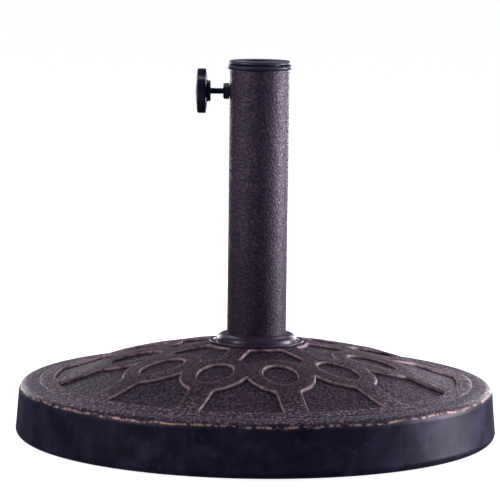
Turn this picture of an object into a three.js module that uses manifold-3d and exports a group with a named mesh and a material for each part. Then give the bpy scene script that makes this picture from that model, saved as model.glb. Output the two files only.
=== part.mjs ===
// A round parasol base: a cast resin dome with raised rosette relief, filled with concrete,
// carrying a steel tube that takes the parasol's pole and a star knob that clamps it.
//
// Millimetres, +Z up. The origin is on the ground under the tube's axis, and the clamp knob points to -X.

import * as THREE from "three";
import { mergeVertices } from "three/addons/utils/BufferGeometryUtils.js";
import Module from "manifold-3d";

const wasm = await Module();
wasm.setup();

// ---------------------------------------------------------------- driving dimensions

const GAP = 0.3; // left between pieces that touch
const CUT_MARGIN = 1; // cutting shapes reach this far past what they cut

// Facets around turned pieces
const DOME_SEGMENTS = 60;
const TUBE_SEGMENTS = 64;
const RING_SEGMENTS = 48;
const SMALL_SEGMENTS = 32;

// Dome
const BASE_RADIUS = 223; // of the side wall carried down to the ground; 17.5 inches across at its widest
const WALL_DRAFT = 0.086; // inward lean of the side wall, mm per mm of height
const SHELL_BOTTOM = 1.5; // the shell hangs this far clear of the ground, on its pads
const FOOT_ROUND = 7; // rounding where the side wall meets the underside
const RIM_Z = 50.2; // top of the smooth ring at its outer edge
const RIM_ROUND = 9; // rounding between the side wall and the ring
const RIM_ROUND_END = 85; // degrees of that rounding, up to where the ring's slope takes over
const RING_INNER_RADIUS = 198;
const RING_INNER_Z = 51.1;
const PLATE_STEP = 0.9; // the patterned field stands this much proud of the smooth ring
const PLATE_STEP_WIDTH = 0.6;
const FIELD_LINE = [[188, 53.4], [172, 57.9], [140, 69], [108, 76.6], [76, 81.9]]; // radius, height
const HUB_RADIUS = 46; // flat seat for the collar
const HUB_Z = 87.1;
const SHELL_WALL = 7; // thickness over the raised pattern
const SHELL_FOOT_EXTRA = 1.5; // the side wall is this much thicker at its lower edge
const UNDERSIDE_RADII = [176, 144, 108, 76]; // where the inside of the shell follows the field

// Relief, as seen from above
const RELIEF = 3;
const PETALS = 12;
const PATTERN_TURN = THREE.MathUtils.degToRad(11.2); // bearing of the first petal
const PETAL_CENTRE_RADIUS = 112.5;
const PETAL_HALF_LENGTH = 38;
const PETAL_HALF_WIDTH = 31;
const OVAL_HALF_LENGTH = 22.8;
const OVAL_HALF_WIDTH = 15.2;
const OUTER_SPOKE_WIDTH = 22.8;
const INNER_SPOKE_WIDTH = 19.5;
const PANEL_OUTER_RADIUS = 186;
const RELIEF_HUB_RADIUS = 47.5;
const RELIEF_CUTTER_RISE = 20;

// Tube and its seat in the dome
const TUBE_RADIUS = 27.4;
const TUBE_WALL = 2;
const TUBE_TOP = 338.9;
const SOCKET_FLOOR = 60;
const SOCKET_FLOOR_THICKNESS = 7;
const SOCKET_WALL = 6.2;
const SOCKET_PLAY = 0.1; // added to the gap around the tube
const END_PLATE_THICKNESS = 4;

// Anchor bolt, M10 x 60
const BOLT_RADIUS = 5;
const BOLT_ACROSS_FLATS = 17;
const BOLT_HEAD_HEIGHT = 6.4;
const BOLT_LENGTH = 60;
const BOLT_CHAMFER = 0.8;
const BOLT_HOLE_PLAY = 0.6;
const NUT_HEIGHT = 8;
const LOCK_WASHER_THICKNESS = 2.5;
const LOCK_WASHER_RADIUS = 9;
const LOCK_WASHER_PLAY = 0.4;
const LOCK_WASHER_SPLIT = 1.4;
const FLAT_WASHER_THICKNESS = 2.5;
const FLAT_WASHER_RADIUS = 15;
const FLAT_WASHER_PLAY = 0.5;
const COUNTERBORE_RADIUS = 19;
const COUNTERBORE_TOP = 26;
const CORE_BOTTOM = 3;

// Foot pads
const PADS = 6;
const PAD_RADIUS = 14;
const PAD_CHAMFER = 1;
const PAD_RING_RADIUS = 178;

// Collar at the foot of the tube
const COLLAR_RADIUS = 43.6;
const COLLAR_RIM_THICKNESS = 1.6;
const COLLAR_TOP = 96;
const COLLAR_SHOULDER_RADIUS = 37.6;
const COLLAR_EDGE = 0.5; // bevel of the disc's rim
const COLLAR_GROOVE_WIDTH = 2.4;
const COLLAR_GROOVE_SLOPE = 0.8;
const COLLAR_GROOVE_DEPTH = 0.7;
const COLLAR_LAND = 0.6; // flat left around the tube on top of the shoulder

// Ring on the tube's end and the pole reducer inside it
const END_RING_RADIUS = 29.7;
const END_RING_HEIGHT = 3.8;
const SPIGOT_LENGTH = 14;
const SPIGOT_WALL = 1.3;
const REDUCER_LIP_RADIUS = 28.5;
const REDUCER_LIP_THICKNESS = 3.1;
const REDUCER_LIP_BEVEL = 0.5;
const REDUCER_LIP_ROUND = 2.4; // rounding of the lip's upper edge
const REDUCER_MOUTH = 1.2; // rounding of the hole's upper edge
const REDUCER_TOP = 347.2;
const POLE_BORE_RADIUS = 19.5;
const REDUCER_WALL = 2;
const REDUCER_BOTTOM = 290;
const REDUCER_RIBS = 8;
const REDUCER_RIB_THICKNESS = 2;
const REDUCER_RIB_SETBACK = 2; // the ribs start this far above the sleeve's lower end
const SCREW_SLOT_WIDTH = 9;
const SCREW_SLOT_TOP_MARGIN = 6;

// Clamp screw, M6 with 1 mm pitch, and its knob; reaches are measured outward from the tube's axis
const CLAMP_Z = 318.8;
const SCREW_RADIUS = 3;
const SCREW_CHAMFER = 0.7;
const SCREW_HOLE_PLAY = 0.5;
const BOSS_REACH = 33.3;
const BOSS_ACROSS_CORNERS = 15;
const BOSS_CHAMFER_REACH = 1.2;
const BOSS_CHAMFER_DEPTH = 1.4;
const TIP_REACH = 24.6;
const TIP_RADIUS = 2.4;
const TIP_LENGTH = 2.4;
const TIP_NOSE = 1.6; // rounded end of the tip
const TIP_STEM_RADIUS = 1.1;
const TIP_STEM_LENGTH = 4;
const HUB_FACE_REACH = 44.8;
const GRIP_FACE_REACH = 49;
const KNOB_OUTER_REACH = 57.9;
const KNOB_HUB_RADIUS = 9.5;
const KNOB_RADIUS = 20.5;
const KNOB_LOBES = 6;
const LOBE_DEPTH = 4.4;
const KNOB_CROWN = 1.2; // fall of the outer face towards the rim
const SCREW_HEAD_ACROSS_FLATS = 10;
const SCREW_HEAD_HEIGHT = 4;
const SCREW_HEAD_SEAT = 51.4;
const KNOB_CAP_RADIUS = 7.6;
const KNOB_CAP_THICKNESS = 1.6;
const KNOB_CAP_EDGE = 0.3; // the cap's edge sits this far below the knob's face
const KNOB_CAP_DOME = 0.9;

// ---------------------------------------------------------------- finishes

const finish = (color, roughness, metalness) =>
  new THREE.MeshStandardMaterial({ color, roughness, metalness });
const bronzeCast = () => finish(0x453a3f, 0.5, 0.45);
const bronzeHammered = () => finish(0x4a3e42, 0.42, 0.55);
const concrete = () => finish(0x8d8a84, 0.95, 0);
const blackGloss = () => finish(0x17161b, 0.28, 0.05);
const blackMatte = () => finish(0x0f0f12, 0.55, 0);
const zincSteel = () => finish(0x8f949c, 0.35, 0.9);
const darkSteel = () => finish(0x33354a, 0.35, 0.9);
const rubber = () => finish(0x1c1c1c, 0.9, 0);
const nylon = () => finish(0xd9d4c4, 0.5, 0);

// ---------------------------------------------------------------- solids: joining and cutting

// A closed geometry as a solid that can be joined and cut.
function solid(geometry) {
  const bare = new THREE.BufferGeometry();
  bare.setAttribute("position", geometry.getAttribute("position"));
  bare.setIndex(geometry.index);
  const merged = mergeVertices(bare, 1e-4);
  return new wasm.Manifold(
    new wasm.Mesh({
      numProp: 3,
      vertProperties: merged.attributes.position.array,
      triVerts: new Uint32Array(merged.index.array),
    }),
  );
}

// A solid as a geometry that a mesh can show.
function shown(manifold) {
  const { vertProperties, triVerts } = manifold.getMesh();
  const geometry = new THREE.BufferGeometry();
  geometry.setAttribute("position", new THREE.BufferAttribute(vertProperties, 3));
  geometry.setIndex(new THREE.BufferAttribute(triVerts, 1));
  geometry.computeVertexNormals();
  return geometry;
}

const joined = (solids) => solids.reduce((whole, next) => whole.add(next));

// ---------------------------------------------------------------- shapes

// A profile of [radius, height] points turned about Z. It starts and ends on the axis, or closes on itself.
function turned(profile, segments = RING_SEGMENTS) {
  const points = profile.map(([r, z]) => new THREE.Vector2(r, z));
  return new THREE.LatheGeometry(points, segments).rotateX(Math.PI / 2);
}

const rod = (radius, from, to, segments = SMALL_SEGMENTS) =>
  turned([[0, from], [radius, from], [radius, to], [0, to]], segments);

const tubeOf = (inner, outer, from, to, segments = RING_SEGMENTS) =>
  turned([[inner, from], [outer, from], [outer, to], [inner, to], [inner, from]], segments);

// A plan outline raised between two heights.
function raised(shape, from, to, curveSegments = 24) {
  const geometry = new THREE.ExtrudeGeometry(shape, {
    depth: to - from,
    bevelEnabled: false,
    curveSegments,
  });
  return geometry.translate(0, 0, from);
}

function hexagon(acrossFlats) {
  const corner = acrossFlats / Math.sqrt(3);
  const points = [];
  for (let k = 0; k < 6; k++) {
    const angle = (k * Math.PI) / 3;
    points.push(new THREE.Vector2(corner * Math.cos(angle), corner * Math.sin(angle)));
  }
  return new THREE.Shape(points);
}

function ellipse(halfLength, halfWidth) {
  const shape = new THREE.Shape();
  shape.absellipse(0, 0, halfLength, halfWidth, 0, 2 * Math.PI, false, 0);
  return shape;
}

const bar = (length, width, from, to) =>
  new THREE.BoxGeometry(length, width, to - from).translate(length / 2, 0, (from + to) / 2);

// Profile points on a circle, from angle a to angle b in degrees.
function arc(centreR, centreZ, radius, a, b, steps) {
  const points = [];
  for (let k = 0; k <= steps; k++) {
    const angle = THREE.MathUtils.degToRad(a + ((b - a) * k) / steps);
    points.push([centreR + radius * Math.cos(angle), centreZ + radius * Math.sin(angle)]);
  }
  return points;
}

// ---------------------------------------------------------------- the dome's surface

// The patterned field rises from the smooth ring in a soft S and flattens towards the hub.
const fieldCurve = new THREE.SplineCurve(
  [[RING_INNER_RADIUS, RING_INNER_Z + PLATE_STEP], ...FIELD_LINE, [HUB_RADIUS, HUB_Z]].map(
    ([r, z]) => new THREE.Vector2(r, z),
  ),
);
const fieldProfile = fieldCurve.getPoints(9).map((p) => [p.x, p.y]);

// Height of the raised field at a radius, on the same facets as the shell.
function fieldHeight(radius) {
  const after = fieldProfile.findIndex(([r]) => r <= radius);
  const [r0, z0] = fieldProfile[after - 1];
  const [r1, z1] = fieldProfile[after];
  return z0 + ((z1 - z0) * (radius - r0)) / (r1 - r0);
}

const wallRadius = (z) => BASE_RADIUS - WALL_DRAFT * z;

// The outside of the shell from the underside's edge to the hub.
function outsideProfile() {
  const footCentre = wallRadius(SHELL_BOTTOM + FOOT_ROUND) - FOOT_ROUND;
  const rimCentre = wallRadius(RIM_Z - RIM_ROUND) - RIM_ROUND;
  return [
    ...arc(footCentre, SHELL_BOTTOM + FOOT_ROUND, FOOT_ROUND, -90, 0, 3),
    ...arc(rimCentre, RIM_Z - RIM_ROUND, RIM_ROUND, 0, RIM_ROUND_END, 4),
    [RING_INNER_RADIUS + PLATE_STEP_WIDTH, RING_INNER_Z],
    ...fieldProfile,
  ];
}

// ---------------------------------------------------------------- relief

// Everything that stands proud in plan: petals, the spokes to the ring and to the hub, and the hub.
function raisedPlan(top) {
  const pieces = [solid(rod(RELIEF_HUB_RADIUS, 0, top, DOME_SEGMENTS))];
  for (let k = 0; k < PETALS; k++) {
    const bearing = PATTERN_TURN + (k * 2 * Math.PI) / PETALS;
    const petal = raised(ellipse(PETAL_HALF_LENGTH, PETAL_HALF_WIDTH), 0, top, 14)
      .translate(PETAL_CENTRE_RADIUS, 0, 0)
      .rotateZ(bearing);
    const outer = bar(RING_INNER_RADIUS - PETAL_CENTRE_RADIUS, OUTER_SPOKE_WIDTH, 0, top)
      .translate(PETAL_CENTRE_RADIUS, 0, 0)
      .rotateZ(bearing);
    pieces.push(solid(petal), solid(outer));
    if (k % 2 === 0) {
      const inner = bar(PETAL_CENTRE_RADIUS, INNER_SPOKE_WIDTH, 0, top).rotateZ(bearing);
      pieces.push(solid(inner));
    }
  }
  return joined(pieces);
}

function ovals(top) {
  const pieces = [];
  for (let k = 0; k < PETALS; k++) {
    const bearing = PATTERN_TURN + (k * 2 * Math.PI) / PETALS;
    const oval = raised(ellipse(OVAL_HALF_LENGTH, OVAL_HALF_WIDTH), 0, top, 9)
      .translate(PETAL_CENTRE_RADIUS, 0, 0)
      .rotateZ(bearing);
    pieces.push(solid(oval));
  }
  return joined(pieces);
}

// What the relief cuts away: the panels and ovals, down to a floor that follows the dome.
function sunkenPanels() {
  const top = HUB_Z + RELIEF_CUTTER_RISE;
  const field = solid(rod(PANEL_OUTER_RADIUS, 0, top, DOME_SEGMENTS));
  const floor = fieldProfile.map(([r, z]) => [r, z - RELIEF]);
  const aboveFloor = solid(
    turned([[0, HUB_Z - RELIEF], ...floor.reverse(), [RING_INNER_RADIUS, top], [0, top]], DOME_SEGMENTS),
  );
  return field.subtract(raisedPlan(top)).add(ovals(top)).intersect(aboveFloor);
}

// ---------------------------------------------------------------- the base

const socketRadius = TUBE_RADIUS + GAP + SOCKET_PLAY;
const socketUnderside = SOCKET_FLOOR - SOCKET_FLOOR_THICKNESS;
const socketOuter = socketRadius + SOCKET_WALL;
const socketRoom = socketOuter + GAP; // hole for the socket in the shell and in the concrete
const boltHoleRadius = BOLT_RADIUS + BOLT_HOLE_PLAY;

// The inside of the shell, pushed in by clearance: the same line that the concrete is cast against.
function insideProfile(clearance, bottom) {
  const offset = SHELL_WALL + clearance;
  return [
    [wallRadius(SHELL_BOTTOM) - offset - SHELL_FOOT_EXTRA, bottom],
    [wallRadius(RIM_Z - RIM_ROUND) - offset, RIM_Z - RIM_ROUND - clearance],
    [RING_INNER_RADIUS, RING_INNER_Z - offset],
    ...UNDERSIDE_RADII.map((r) => [r, fieldHeight(r) - offset]),
    [socketRoom, HUB_Z - offset],
  ];
}

function baseShell() {
  const profile = [
    ...outsideProfile(),
    [socketRoom, HUB_Z],
    ...insideProfile(0, SHELL_BOTTOM).reverse(),
  ];
  profile.push(profile[0]);
  return shown(solid(turned(profile, DOME_SEGMENTS)).subtract(sunkenPanels()));
}

function ballastCore() {
  const profile = [
    ...insideProfile(GAP, CORE_BOTTOM),
    [socketRoom, socketUnderside - GAP],
    [boltHoleRadius, socketUnderside - GAP],
    [boltHoleRadius, COUNTERBORE_TOP],
    [COUNTERBORE_RADIUS, COUNTERBORE_TOP],
    [COUNTERBORE_RADIUS, CORE_BOTTOM],
  ];
  profile.push(profile[0]);
  return turned(profile, DOME_SEGMENTS);
}

// The cup in the middle of the concrete that the tube stands in.
function tubeSocket() {
  const profile = [
    [socketRadius, HUB_Z],
    [socketRadius, SOCKET_FLOOR],
    [boltHoleRadius, SOCKET_FLOOR],
    [boltHoleRadius, socketUnderside],
    [socketOuter, socketUnderside],
    [socketOuter, HUB_Z],
  ];
  profile.push(profile[0]);
  return turned(profile, DOME_SEGMENTS);
}

function footPad(k) {
  const bearing = ((k + 0.5) * 2 * Math.PI) / PADS;
  const height = CORE_BOTTOM - GAP;
  const pad = turned(
    [[0, 0], [PAD_RADIUS - PAD_CHAMFER, 0], [PAD_RADIUS, PAD_CHAMFER], [PAD_RADIUS, height], [0, height]],
    SMALL_SEGMENTS,
  );
  return pad.translate(PAD_RING_RADIUS * Math.cos(bearing), PAD_RING_RADIUS * Math.sin(bearing), 0);
}

// ---------------------------------------------------------------- the tube and its anchor

const tubeBottom = SOCKET_FLOOR + GAP;
const tubeInner = TUBE_RADIUS - TUBE_WALL;

// Turns a piece made along +Z outward from the tube's axis so that it lies on the clamp's axis.
const onClampAxis = (geometry) => geometry.rotateY(-Math.PI / 2).translate(0, 0, CLAMP_Z);

function uprightTube() {
  const wall = solid(tubeOf(tubeInner, TUBE_RADIUS, tubeBottom, TUBE_TOP, TUBE_SEGMENTS));
  const screwHole = solid(
    onClampAxis(rod(SCREW_RADIUS + SCREW_HOLE_PLAY, tubeInner - CUT_MARGIN, TUBE_RADIUS + CUT_MARGIN)),
  );
  return shown(wall.subtract(screwHole));
}

const tubeEndPlate = () =>
  tubeOf(boltHoleRadius, tubeInner - GAP, tubeBottom, tubeBottom + END_PLATE_THICKNESS);

// A hexagonal piece with a round hole through it.
function hexNut(acrossFlats, bore, from, to) {
  const hole = solid(rod(bore, from - CUT_MARGIN, to + CUT_MARGIN));
  return solid(raised(hexagon(acrossFlats), from, to)).subtract(hole);
}

function anchorNut() {
  const seat = tubeBottom + END_PLATE_THICKNESS + GAP;
  return shown(hexNut(BOLT_ACROSS_FLATS, BOLT_RADIUS + GAP, seat, seat + NUT_HEIGHT));
}

// The stack under the counterbore's roof: flat washer, lock washer, then the bolt's head.
const flatWasherTop = COUNTERBORE_TOP - GAP;
const lockWasherTop = flatWasherTop - FLAT_WASHER_THICKNESS - GAP;
const headTop = lockWasherTop - LOCK_WASHER_THICKNESS - GAP;

const anchorWasher = () =>
  tubeOf(
    BOLT_RADIUS + FLAT_WASHER_PLAY,
    FLAT_WASHER_RADIUS,
    flatWasherTop - FLAT_WASHER_THICKNESS,
    flatWasherTop,
  );

// A split ring whose ends stand apart.
function lockWasher() {
  const from = lockWasherTop - LOCK_WASHER_THICKNESS;
  const ring = solid(tubeOf(BOLT_RADIUS + LOCK_WASHER_PLAY, LOCK_WASHER_RADIUS, from, lockWasherTop));
  const split = solid(
    bar(LOCK_WASHER_RADIUS + CUT_MARGIN, LOCK_WASHER_SPLIT, from - CUT_MARGIN, lockWasherTop + CUT_MARGIN),
  );
  return shown(ring.subtract(split));
}

function anchorBolt() {
  const end = headTop + BOLT_LENGTH;
  const inHead = headTop - CUT_MARGIN;
  const head = solid(raised(hexagon(BOLT_ACROSS_FLATS), headTop - BOLT_HEAD_HEIGHT, headTop));
  const shank = solid(
    turned(
      [
        [0, inHead],
        [BOLT_RADIUS, inHead],
        [BOLT_RADIUS, end - BOLT_CHAMFER],
        [BOLT_RADIUS - BOLT_CHAMFER, end],
        [0, end],
      ],
      SMALL_SEGMENTS,
    ),
  );
  return shown(head.add(shank));
}

// ---------------------------------------------------------------- trim rings

// A thin disc on the dome, a shallow groove, and a rounded shoulder that closes on the tube.
function baseCollar() {
  const bottom = HUB_Z + GAP;
  const rimTop = bottom + COLLAR_RIM_THICKNESS;
  const groove = rimTop - COLLAR_GROOVE_DEPTH;
  const inner = TUBE_RADIUS + GAP;
  const land = inner + COLLAR_LAND;
  const steps = 4;
  const shoulder = [];
  for (let k = 0; k <= steps; k++) {
    const angle = ((k / steps) * Math.PI) / 2;
    const r = land + (COLLAR_SHOULDER_RADIUS - land) * Math.cos(angle);
    shoulder.push([r, rimTop + (COLLAR_TOP - rimTop) * Math.sin(angle)]);
  }
  return turned([
    [inner, bottom],
    [COLLAR_RADIUS - COLLAR_EDGE, bottom],
    [COLLAR_RADIUS, bottom + COLLAR_EDGE],
    [COLLAR_RADIUS, rimTop - COLLAR_EDGE],
    [COLLAR_RADIUS - COLLAR_EDGE, rimTop],
    [COLLAR_SHOULDER_RADIUS + COLLAR_GROOVE_WIDTH, rimTop],
    [COLLAR_SHOULDER_RADIUS + COLLAR_GROOVE_WIDTH - COLLAR_GROOVE_SLOPE, groove],
    [COLLAR_SHOULDER_RADIUS, groove],
    ...shoulder,
    [inner, COLLAR_TOP],
    [inner, bottom],
  ]);
}

const spigotOuter = tubeInner - GAP;
const spigotInner = spigotOuter - SPIGOT_WALL;

// The flanged ring on the tube's end, with a spigot that ends above the clamp screw.
function tubeEndRing() {
  const bottom = TUBE_TOP + GAP;
  const top = bottom + END_RING_HEIGHT;
  const edge = END_RING_HEIGHT / 2;
  const profile = [
    [spigotInner, bottom - SPIGOT_LENGTH],
    [spigotOuter, bottom - SPIGOT_LENGTH],
    [spigotOuter, bottom],
    ...arc(END_RING_RADIUS - edge, bottom + edge, edge, -90, 90, 4),
    [spigotInner, top],
    [spigotInner, bottom - SPIGOT_LENGTH],
  ];
  return turned(profile);
}

// ---------------------------------------------------------------- the pole reducer

// A ribbed bush under a thin lip. A slot, open below, lets it lift past the clamp screw.
function poleReducer() {
  const lipBottom = REDUCER_TOP - REDUCER_LIP_THICKNESS;
  const sleeveOuter = POLE_BORE_RADIUS + REDUCER_WALL;
  const round = REDUCER_LIP_ROUND;
  const shoulder = arc(REDUCER_LIP_RADIUS - round, REDUCER_TOP - round, round, 0, 90, 4);
  const mouth = arc(POLE_BORE_RADIUS + REDUCER_MOUTH, REDUCER_TOP - REDUCER_MOUTH, REDUCER_MOUTH, 90, 180, 3);
  const sleeve = solid(
    turned([
      [POLE_BORE_RADIUS, REDUCER_BOTTOM],
      [sleeveOuter, REDUCER_BOTTOM],
      [sleeveOuter, lipBottom],
      [REDUCER_LIP_RADIUS - REDUCER_LIP_BEVEL, lipBottom],
      [REDUCER_LIP_RADIUS, lipBottom + REDUCER_LIP_BEVEL],
      ...shoulder,
      ...mouth,
      [POLE_BORE_RADIUS, REDUCER_BOTTOM],
    ]),
  );
  const ribs = [];
  const inset = sleeveOuter - REDUCER_WALL / 2;
  const ribBottom = REDUCER_BOTTOM + REDUCER_RIB_SETBACK;
  const inLip = lipBottom + REDUCER_LIP_THICKNESS / 2;
  for (let k = 0; k < REDUCER_RIBS; k++) {
    const rib = bar(spigotInner - GAP - inset, REDUCER_RIB_THICKNESS, ribBottom, inLip)
      .translate(inset, 0, 0)
      .rotateZ(((k + 0.5) * 2 * Math.PI) / REDUCER_RIBS);
    ribs.push(solid(rib));
  }
  const slotTop = CLAMP_Z + SCREW_SLOT_TOP_MARGIN;
  const slot = bar(REDUCER_LIP_RADIUS, SCREW_SLOT_WIDTH, REDUCER_BOTTOM - CUT_MARGIN, slotTop);
  return shown(joined([sleeve, ...ribs]).subtract(solid(slot.rotateZ(Math.PI))));
}

// ---------------------------------------------------------------- the clamp

// The threaded boss: a hexagon welded to the tube, hollowed at the back to sit on it.
function clampBoss() {
  const acrossFlats = (BOSS_ACROSS_CORNERS * Math.sqrt(3)) / 2;
  const corner = BOSS_ACROSS_CORNERS / 2;
  const hex = raised(hexagon(acrossFlats), TUBE_RADIUS - corner, BOSS_REACH);
  const chamfered = solid(
    turned([
      [0, 0],
      [corner, 0],
      [corner, BOSS_REACH - BOSS_CHAMFER_REACH],
      [corner - BOSS_CHAMFER_DEPTH, BOSS_REACH],
      [0, BOSS_REACH],
    ]),
  );
  const bore = solid(rod(SCREW_RADIUS + GAP, 0, BOSS_REACH + CUT_MARGIN));
  const body = solid(hex).intersect(chamfered).subtract(bore);
  const below = CLAMP_Z - BOSS_ACROSS_CORNERS;
  const above = CLAMP_Z + BOSS_ACROSS_CORNERS;
  const tubeRoom = solid(rod(TUBE_RADIUS + GAP, below, above, TUBE_SEGMENTS));
  return shown(solid(onClampAxis(shown(body))).subtract(tubeRoom));
}

// The nylon tip that bears on the pole; its stem sits in the end of the screw.
function screwTip() {
  const back = TIP_REACH + TIP_LENGTH;
  const steps = 4;
  const nose = [];
  for (let k = 0; k <= steps; k++) {
    const angle = ((k / steps) * Math.PI) / 2;
    nose.push([TIP_RADIUS * Math.sin(angle), TIP_REACH + TIP_NOSE * (1 - Math.cos(angle))]);
  }
  const profile = [
    ...nose,
    [TIP_RADIUS, back],
    [TIP_STEM_RADIUS, back],
    [TIP_STEM_RADIUS, back + TIP_STEM_LENGTH],
    [0, back + TIP_STEM_LENGTH],
  ];
  return onClampAxis(turned(profile, SMALL_SEGMENTS));
}

function clampScrew() {
  const tipSide = TIP_REACH + TIP_LENGTH + GAP;
  const headEnd = SCREW_HEAD_SEAT + SCREW_HEAD_HEIGHT;
  const inHead = headEnd - CUT_MARGIN;
  const shank = solid(
    turned(
      [
        [0, tipSide],
        [SCREW_RADIUS - SCREW_CHAMFER, tipSide],
        [SCREW_RADIUS, tipSide + SCREW_CHAMFER],
        [SCREW_RADIUS, inHead],
        [0, inHead],
      ],
      SMALL_SEGMENTS,
    ),
  );
  const head = solid(raised(hexagon(SCREW_HEAD_ACROSS_FLATS), SCREW_HEAD_SEAT, headEnd));
  const stemEnd = tipSide + TIP_STEM_LENGTH + GAP;
  const stemHole = solid(rod(TIP_STEM_RADIUS + GAP, tipSide - CUT_MARGIN, stemEnd));
  return onClampAxis(shown(shank.add(head).subtract(stemHole)));
}

// The grip's outline: rounded lobes around a circle.
function lobedOutline(steps = 96) {
  const mean = KNOB_RADIUS - LOBE_DEPTH / 2;
  const points = [];
  for (let k = 0; k < steps; k++) {
    const angle = (k * 2 * Math.PI) / steps;
    const radius = mean + (LOBE_DEPTH / 2) * Math.cos(KNOB_LOBES * angle);
    points.push(new THREE.Vector2(radius * Math.cos(angle), radius * Math.sin(angle)));
  }
  return new THREE.Shape(points);
}

function clampKnob() {
  const grip = solid(raised(lobedOutline(), GRIP_FACE_REACH, KNOB_OUTER_REACH));
  const rimSide = KNOB_RADIUS + CUT_MARGIN;
  const flat = KNOB_CAP_RADIUS + CUT_MARGIN;
  const crown = [0, 0.5, 1].map((t) => [
    rimSide + (flat - rimSide) * t,
    KNOB_OUTER_REACH - KNOB_CROWN * (1 - t) ** 2,
  ]);
  const behind = GRIP_FACE_REACH - CUT_MARGIN;
  const crowned = solid(turned([[0, behind], [rimSide, behind], ...crown, [0, KNOB_OUTER_REACH]]));
  const hub = solid(rod(KNOB_HUB_RADIUS, HUB_FACE_REACH, GRIP_FACE_REACH + CUT_MARGIN, RING_SEGMENTS));
  const bore = solid(rod(SCREW_RADIUS + GAP, HUB_FACE_REACH - CUT_MARGIN, KNOB_OUTER_REACH));
  const outside = KNOB_OUTER_REACH + CUT_MARGIN;
  const pocket = solid(
    raised(hexagon(SCREW_HEAD_ACROSS_FLATS + 2 * GAP), SCREW_HEAD_SEAT - GAP, outside),
  );
  const capSeat = solid(
    rod(KNOB_CAP_RADIUS + GAP, KNOB_OUTER_REACH - KNOB_CAP_THICKNESS, outside, RING_SEGMENTS),
  );
  const body = grip.intersect(crowned).add(hub);
  return onClampAxis(shown(body.subtract(bore).subtract(pocket).subtract(capSeat)));
}

// The domed disc that covers the screw's head.
function knobCap() {
  const back = KNOB_OUTER_REACH - KNOB_CAP_THICKNESS + GAP;
  const dome = [0, 0.5, 1].map((t) => [
    KNOB_CAP_RADIUS * (1 - t),
    KNOB_OUTER_REACH - KNOB_CAP_EDGE + KNOB_CAP_DOME * (1 - (1 - t) ** 2),
  ]);
  return onClampAxis(turned([[0, back], [KNOB_CAP_RADIUS, back], ...dome]));
}

// ---------------------------------------------------------------- assembly

function node(name, geometry, material) {
  const mesh = new THREE.Mesh(geometry, material);
  mesh.name = name;
  return mesh;
}

function group(...children) {
  const made = new THREE.Group();
  made.add(...children);
  return made;
}

const dome = group(
  node("base_shell", baseShell(), bronzeCast()),
  node("ballast_core", ballastCore(), concrete()),
  node("tube_socket", tubeSocket(), blackGloss()),
);
for (let k = 0; k < PADS; k++) dome.add(node(`foot_pad_${k + 1}`, footPad(k), rubber()));

const post = group(
  node("upright_tube", uprightTube(), bronzeHammered()),
  node("tube_end_plate", tubeEndPlate(), zincSteel()),
  node("anchor_nut", anchorNut(), zincSteel()),
  node("anchor_bolt", anchorBolt(), zincSteel()),
  node("anchor_washer", anchorWasher(), zincSteel()),
  node("lock_washer", lockWasher(), zincSteel()),
  node("base_collar", baseCollar(), blackGloss()),
  node("tube_end_ring", tubeEndRing(), blackGloss()),
  node("pole_reducer", poleReducer(), blackGloss()),
);

const clamp = group(
  node("clamp_boss", clampBoss(), blackMatte()),
  node("screw_tip", screwTip(), nylon()),
  node("clamp_screw", clampScrew(), darkSteel()),
  node("clamp_knob", clampKnob(), blackMatte()),
  node("knob_cap", knobCap(), blackMatte()),
);

export default group(dome, post, clamp);
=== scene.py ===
"""Looks for the round parasol base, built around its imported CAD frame.

Lengths here are millimetres, as in the CAD, and mesh_object() turns them into metres. +Z is up, the ground
is Z 0, and the tube's axis is X 0, Y 0. The clamp screw lies along -X at CLAMP_Z.
"""

import math

import bmesh
import bpy
import numpy as np
from mathutils import Matrix, Vector, noise
from mathutils.geometry import delaunay_2d_cdt


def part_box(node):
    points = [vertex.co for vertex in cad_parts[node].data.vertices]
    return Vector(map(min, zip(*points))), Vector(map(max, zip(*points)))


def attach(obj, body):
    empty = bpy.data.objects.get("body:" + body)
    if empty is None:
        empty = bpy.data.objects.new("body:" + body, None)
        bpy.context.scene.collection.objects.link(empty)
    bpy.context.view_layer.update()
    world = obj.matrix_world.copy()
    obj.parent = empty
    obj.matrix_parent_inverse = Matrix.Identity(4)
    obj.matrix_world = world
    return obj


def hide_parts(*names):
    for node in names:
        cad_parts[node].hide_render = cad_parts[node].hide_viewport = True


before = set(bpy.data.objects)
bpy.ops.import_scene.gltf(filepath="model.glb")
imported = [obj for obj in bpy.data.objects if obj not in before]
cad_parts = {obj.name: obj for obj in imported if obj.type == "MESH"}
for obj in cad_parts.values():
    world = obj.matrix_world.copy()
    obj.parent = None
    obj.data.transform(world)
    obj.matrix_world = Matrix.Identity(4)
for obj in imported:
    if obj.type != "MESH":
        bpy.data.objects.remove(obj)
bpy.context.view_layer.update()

MM = 0.001
GAP = 0.3  # between pieces that touch
TURN = 2 * math.pi

# ---- dimensions, as in the CAD

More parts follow.
